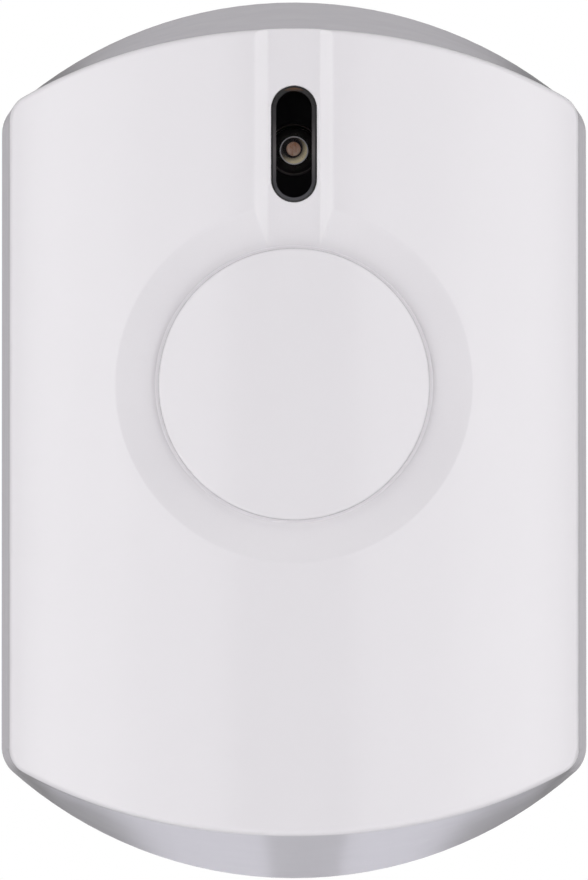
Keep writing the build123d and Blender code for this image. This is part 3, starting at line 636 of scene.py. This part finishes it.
def transistor_finish():
    """The small transistor has its legs above and below its body."""
    low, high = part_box("driver_transistor")
    middle = (low + high) / 2
    body_half = 0.76 * mm
    return two_part(
        "transistor_black", epoxy_black, 0.5, tin, 0.3,
        lambda finish: finish.math("GREATER_THAN", finish.away("Z", middle.z), body_half),
    )


def dress(node, material):
    data = nodes[node].data
    data.materials.clear()
    data.materials.append(material)


def dress_all(finishes):
    """Every node in its slot's finish, but for the transistor, whose legs need their own."""
    for node in nodes:
        dress(node, finishes[slot_of[node]].material)
    dress("driver_transistor", transistor_finish().material)


def skin(form, rings, capped=False):
    """Faces from each ring of corners to the next, where a ring of one corner is a tip."""
    count = max(len(ring) for ring in rings)
    for near, far in zip(rings, rings[1:]):
        for number in range(count):
            after = (number + 1) % count
            corners = [near[number % len(near)], near[after % len(near)],
                       far[after % len(far)], far[number % len(far)]]
            form.faces.new(list(dict.fromkeys(corners)))
    if capped:
        form.faces.new(rings[0][::-1])
        form.faces.new(rings[-1])


def stack(form, circles, count=32):
    """Skin over circles that face the wall, each with its X, Z, radius and depth."""
    rings = []
    for x, z, radius, depth in circles:
        ring = []
        for number in range(count if radius else 1):
            angle = 2 * math.pi * number / count
            corner = (x + radius * math.cos(angle), -depth, z + radius * math.sin(angle))
            ring.append(form.verts.new(corner))
        rings.append(ring)
    skin(form, rings)


def turn(form, x, z, profile, count=32):
    """Skin of a profile of radius and depth, turned about an axis square to the wall."""
    stack(form, [(x, z, radius, depth) for radius, depth in profile], count)


def track(form, points, width, back, front):
    """Flat strip along a line of points, with its corners mitred."""
    path = [Vector(point) for point in points]
    sections = []
    for place, point in enumerate(path):
        before = (point - path[place - 1]).normalized() if place else None
        after = (path[place + 1] - point).normalized() if place + 1 < len(path) else None
        before, after = before or after, after or before
        heading = (before + after).normalized()
        across = Vector((-heading.y, heading.x))
        reach = width / 2 / max(across.dot(Vector((-after.y, after.x))), 0.5)
        left, right = point + across * reach, point - across * reach
        corners = ((left, back), (right, back), (right, front), (left, front))
        sections.append([form.verts.new((side.x, -depth, side.y)) for side, depth in corners])
    skin(form, sections, capped=True)


def add_piece(name, build, body, material, smooth_angle=35):
    """Piece from a function that builds its mesh, riding on a body."""
    form = bmesh.new()
    build(form)
    bmesh.ops.recalc_face_normals(form, faces=form.faces)
    mesh = bpy.data.meshes.new(name)
    form.to_mesh(mesh)
    form.free()
    mesh.polygons.foreach_set("use_smooth", [True] * len(mesh.polygons))
    mesh.set_sharp_from_angle(angle=math.radians(smooth_angle))
    mesh.materials.append(material)
    piece = bpy.data.objects.new(name, mesh)
    bpy.context.scene.collection.objects.link(piece)
    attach(piece, body)
    return piece


def add_lamp_inside():
    """Reflector cup, black throat put as painted shade, and chip, which show through the end of the lamp."""
    x, z = lamp_centre.x, lamp_centre.z
    front = lamp_base + 0.25 * mm
    chip_x, chip_z = x - 0.05 * mm, z + 0.18 * mm
    chip_front = front - 0.1 * mm
    throat_mouth = (1.03, 0.24)

    def drops(profile, top):
        """Profile of radii and drops below the top, in millimetres, as radii and depths."""
        return [(radius * mm, top - drop * mm) for radius, drop in profile]

    def cup(form):
        circles = [(x, z, *row) for row in drops([(1.30, 1.2), (1.38, 0.10), (1.38, 0.04)], front)]
        circles += [(throat_x, throat_z, *row) for row in drops([throat_mouth], front)]
        stack(form, circles, 64)

    def rim(form):
        profile = [(1.36, 0.3), (1.44, 0.04), (1.42, -0.02), (1.35, -0.02), (1.32, 0.06), (1.34, 0.3)]
        turn(form, x, z, drops(profile, front), 64)

    def throat(form):
        turn(form, throat_x, throat_z, drops([throat_mouth, (0.95, 0.9), (0.0, 1.0)], front), 48)

    def chip(form):
        profile = [(0.72, 0.5), (0.68, 0.08), (0.60, 0.0), (0.0, -0.05)]
        turn(form, chip_x, chip_z, drops(profile, chip_front), 48)

    # Black throat: a dark piece put as painted shade deep in the cup
    black = moulded("lamp_throat_painted_shade", (0.004, 0.003, 0.004), 0.6).material
    pale = metal("lamp_rim", rim_grey, 0.5, lines=0.2 * mm, stretch=(1, 1, 1))
    pale.set("Metallic", 0.2)
    # Painted glow on the rim, as the lamp is not lit
    pale.glow((*rim_grey, 1), painted_lamp_glow)
    add_piece("lamp_cup", cup, "base", lamp_metal().material)
    add_piece("lamp_rim", rim, "base", pale.material)
    add_piece("lamp_throat", throat, "base", black)
    add_piece("lamp_die", chip, "base", lamp_chip().material)


def rim_finish():
    """Black plastic, paler below the lamp as a painted highlight on the bead."""
    finish = moulded("shield_rim", (0.05, 0.05, 0.05), 0.35)
    painted_highlight_below = finish.ramp(finish.axis("Z"), lamp_centre.z - 0.6 * mm, lamp_centre.z - 2.0 * mm)
    finish.set("Base Color", finish.mix(painted_highlight_below, deep_black, (0.075, 0.070, 0.070)))
    return finish


def add_shield_rim(material):
    """Rounded bead round the lamp's opening in the floor of the light shield."""
    floor_front = -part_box("light_shield")[1].y + shield_floor
    # Radius and rise over the floor, in millimetres
    profile = [(2.46, -0.3), (2.46, 0.08), (2.50, 0.14), (2.58, 0.14), (2.66, 0.04), (2.68, -0.1)]

    def bead(form):
        rows = [(radius * mm, floor_front + rise * mm) for radius, rise in profile]
        turn(form, lamp_centre.x, lamp_centre.z, rows, 96)

    add_piece("shield_rim", bead, "cover", material)


def add_button_seal(material):
    """Thin white lip of the cover that wipes the button's side and closes its running gap."""
    low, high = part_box("siren_button")
    x = (low.x + high.x) / 2
    flange_radius = high.x - x
    z = low.z + flange_radius
    radius = flange_radius - button_flange_lip
    count = 160
    # Reach outward from the button's side and rise over the ring's floor, in millimetres
    profile = (
        (0.01, -0.7), (0.01, 0.46), (0.05, 0.40), (0.11, 0.25), (0.20, 0.12), (0.31, 0.04), (0.44, 0.004),
        (0.46, -0.05),
    )

    def seal(form):
        rings = []
        for reach, rise in profile:
            ring = []
            for number in range(count):
                angle = 2 * math.pi * number / count
                across = (radius + reach * mm) * math.cos(angle)
                up = (radius + reach * mm) * math.sin(angle)
                sag = face_radius - math.sqrt(face_radius ** 2 - across ** 2)
                depth = -low.y - sag - ring_depth + rise * mm
                ring.append(form.verts.new((x + across, -depth, z + up)))
            rings.append(ring)
        skin(form, rings)

    add_piece("button_seal", seal, "cover", material, 60)


def add_spring(material):
    """The button's spring again, as a piece of its own riding on the cover."""
    low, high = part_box("button_spring")
    middle = (low + high) / 2
    radius = (high.x - low.x - spring_wire) / 2
    back, front = -high.y + spring_wire / 2, -low.y - spring_wire / 2
    steps = 120
    sides = 12

    def spring(form):
        rings = []
        for step in range(steps + 1):
            share = step / steps
            angle = 2 * math.pi * spring_turns * share
            out = Vector((math.cos(angle), 0, math.sin(angle)))
            centre = Vector((middle.x, -(back + (front - back) * share), middle.z)) + radius * out
            ring = []
            for side in range(sides):
                turned = 2 * math.pi * side / sides
                around = math.cos(turned) * out + math.sin(turned) * Vector((0, 1, 0))
                ring.append(form.verts.new(centre + spring_wire / 2 * around))
            rings.append(ring)
        skin(form, rings, capped=True)

    coil = add_piece("spring_coil", spring, "cover", material, 60)
    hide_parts("button_spring")
    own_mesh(coil)


def node_middle(node):
    low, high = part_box(node)
    return (low + high) / 2


def add_board_tracks():
    """Copper tracks under the lacquer, standing a little proud of the board."""
    front = board_front + 0.035 * mm
    radio = node_middle("radio_board")
    chip = node_middle("processor_chip")
    header = node_middle("program_header")
    coil = node_middle("boost_inductor")
    can = node_middle("boost_capacitor")
    driver = node_middle("driver_transistor")
    bottom = board_low.z + 1.2 * mm
    lead_space, lead_tip, pin_space = 0.8 * mm, 4.6 * mm, 2.54 * mm
    radio_edge, radio_foot = 5.6 * mm, 7.6 * mm
    jog = 1.2 * mm
    thin, wide = 0.28 * mm, 1.3 * mm

    def tracks(form):
        def lay(points, width=thin):
            track(form, points, width, board_front, front)

        for number in range(8):
            z = chip.z + (number - 3.5) * lead_space
            bend = chip.x - (5.4 + 0.3 * number) * mm
            lay([(chip.x - lead_tip, z), (bend, z), (bend - jog, z - jog), (radio.x + radio_edge, z - jog)])
        for number in range(5):
            pin_z = header.z + (number - 2) * pin_space
            lead_z = chip.z + (number - 2) * lead_space
            lead_x = chip.x + lead_tip
            bend = header.x - 1.4 * mm - 0.35 * mm * (4 - number)
            if min(abs(pin_z - lead_z), header.x - 1.6 * mm - lead_x) > lead_space:
                lay([(lead_x, lead_z), (bend, lead_z), (bend, pin_z), (header.x, pin_z)])
        for number in range(4):
            x = chip.x + (number - 1.5) * 2 * lead_space
            lay([(x, chip.z - lead_tip), (x, chip.z - 6.2 * mm)])
            x = radio.x + (number - 1.5) * 2.5 * mm
            lay([(x, radio.z - radio_foot), (x - mm, radio.z - 10.5 * mm), (x - mm, radio.z - 13 * mm)])
        x = coil.x - 4.2 * mm
        lay([(x, bottom + 3 * mm), (x, coil.z + 4 * mm), (coil.x, coil.z + 7 * mm)], wide)
        leg_z = driver.z - 1.6 * mm
        lay([(can.x, can.z + 3 * mm), (driver.x + 3 * mm, driver.z - mm), (driver.x, leg_z)], wide)
        for side in (-1, 1):
            x = side * mm
            lay([(18 * x, bottom + 1.6 * mm), (15 * x, bottom), (3 * x, bottom)], wide)

    lacquer = solder_mask("track_green", (0.022, 0.17, 0.06)).material
    add_piece("board_tracks", tracks, "base", lacquer)


def add_board_print():
    """White outlines round the larger square parts and rings round the round ones, with no letters."""
    back, front = board_front, board_front + 0.02 * mm
    line = 0.16 * mm
    ring_margin = 0.35 * mm

    def outline(form, node, margin):
        low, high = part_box(node)
        left, right = low.x - margin, high.x + margin
        bottom, top = low.z - margin, high.z + margin
        corners = [(left, bottom), (right, bottom), (right, top), (left, top)]
        for first, second in zip(corners, corners[1:] + corners[:1]):
            track(form, [first, second], line, back, front)

    def ring(form, node):
        low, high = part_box(node)
        middle = (low + high) / 2
        radius = (high.x - low.x) / 2 + ring_margin
        profile = [(radius, back), (radius, front), (radius + line, front), (radius + line, back)]
        turn(form, middle.x, middle.z, profile, 96)

    def prints(form):
        for node, margin in (
            ("radio_board", 0.35 * mm), ("processor_chip", 0.3 * mm), ("boost_inductor", 0.4 * mm),
            ("button_switch", 0.35 * mm), ("program_header", 0.25 * mm), ("tamper_switch", 0.3 * mm),
        ):
            outline(form, node, margin)
        for node in ("siren_capsule", "boost_capacitor", "led_spacer"):
            ring(form, node)

    ink = moulded("board_ink", (0.72, 0.72, 0.68), 0.6, grain=0.1 * mm).material
    add_piece("board_print", prints, "base", ink)


def add_solder():
    """Solder cones at the contacts' feet, and tinned rings on the vias."""
    header = node_middle("program_header")
    contact_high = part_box("positive_contact")[1]
    foot_x, foot_z = contact_high.x - 2.75 * mm, contact_high.z - 0.75 * mm
    foot_step = 0.7 * mm
    cone_radius, cone_height = 0.5 * mm, 0.55 * mm

    def cone(form, x, z):
        shares = [(1, 0), (0.96, 0.08), (0.66, 0.35), (0.5, 1), (0, 1)]
        profile = [(radius * cone_radius, board_front + rise * cone_height) for radius, rise in shares]
        turn(form, x, z, profile, 24)

    def via(form, x, z):
        front = board_front + 0.05 * mm
        profile = [(0.42 * mm, board_front), (0.40 * mm, front), (0.20 * mm, front), (0.18 * mm, board_front)]
        turn(form, x, z, profile, 16)

    def joints(form):
        for side in (-1, 1):
            for step in (-foot_step, foot_step):
                cone(form, side * foot_x, foot_z + step)
        for number in range(6):
            via(form, (-9.5 + 3.8 * number) * mm, board_low.z + 2.4 * mm)
            via(form, (-4.6 + 1.6 * number) * mm, header.z + 12.2 * mm)
            via(form, -16.5 * mm, (1.5 + 1.8 * number) * mm)

    solder = metal("solder", solder_grey, 0.3, lines=0.2 * mm, stretch=(1, 1, 1)).material
    add_piece("solder_joints", joints, "base", solder)


def add_small_marks():
    """Pin one dot of the processor, vent cross of the capacitor and printed stripe of its sleeve."""
    chip = node_middle("processor_chip")
    chip_front = -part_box("processor_chip")[0].y
    corner = 2.6 * mm
    can_low, can_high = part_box("boost_capacitor")
    can = (can_low + can_high) / 2
    can_front = -can_low.y
    can_radius = (can_high.x - can_low.x) / 2

    def dot(form):
        rises = [(0.0, 0.004), (0.32, 0.004), (0.42, 0.03), (0.45, 0)]
        profile = [(radius * mm, chip_front + rise * mm) for radius, rise in rises]
        turn(form, chip.x - corner, chip.z + corner, profile, 24)

    def vent(form):
        back, front = can_front - 0.05 * mm, can_front + 0.001 * mm
        reach = 0.62 * can_radius
        for slant in (-1, 1):
            ends = [(can.x + side * reach, can.z + side * slant * reach) for side in (-1, 1)]
            track(form, ends, 0.22 * mm, back, front)

    def stripe(form):
        count = 12
        start, width = math.radians(200), math.radians(50)
        back, front = board_front + 3.2 * mm, can_front - 0.6 * mm
        radius = can_radius + 0.02 * mm
        columns = []
        for number in range(count + 1):
            angle = start + width * number / count
            x, z = can.x + radius * math.cos(angle), can.z + radius * math.sin(angle)
            columns.append([form.verts.new((x, -depth, z)) for depth in (back, front)])
        for near, far in zip(columns, columns[1:]):
            form.faces.new([near[0], far[0], far[1], near[1]])

    dark = moulded("mark_dark", (0.008, 0.008, 0.009), 0.35).material
    groove = metal("vent_groove", (0.30, 0.30, 0.30), 0.45).material
    pale = moulded("sleeve_print", (0.45, 0.46, 0.48), 0.35).material
    add_piece("processor_dot", dot, "base", dark)
    add_piece("capacitor_vent", vent, "base", groove)
    add_piece("capacitor_stripe", stripe, "base", pale)


add_camera()
light_studio()
finishes = all_finishes()
dress_all(finishes)
add_lamp_inside()
add_shield_rim(rim_finish().material)
add_button_seal(moulded("seal_white", lip_white_painted_light, 0.3).material)
add_spring(finishes["spring_steel"].material)
add_board_tracks()
add_board_print()
add_solder()
add_small_marks()

bpy.context.scene.view_settings.view_transform = "Standard"
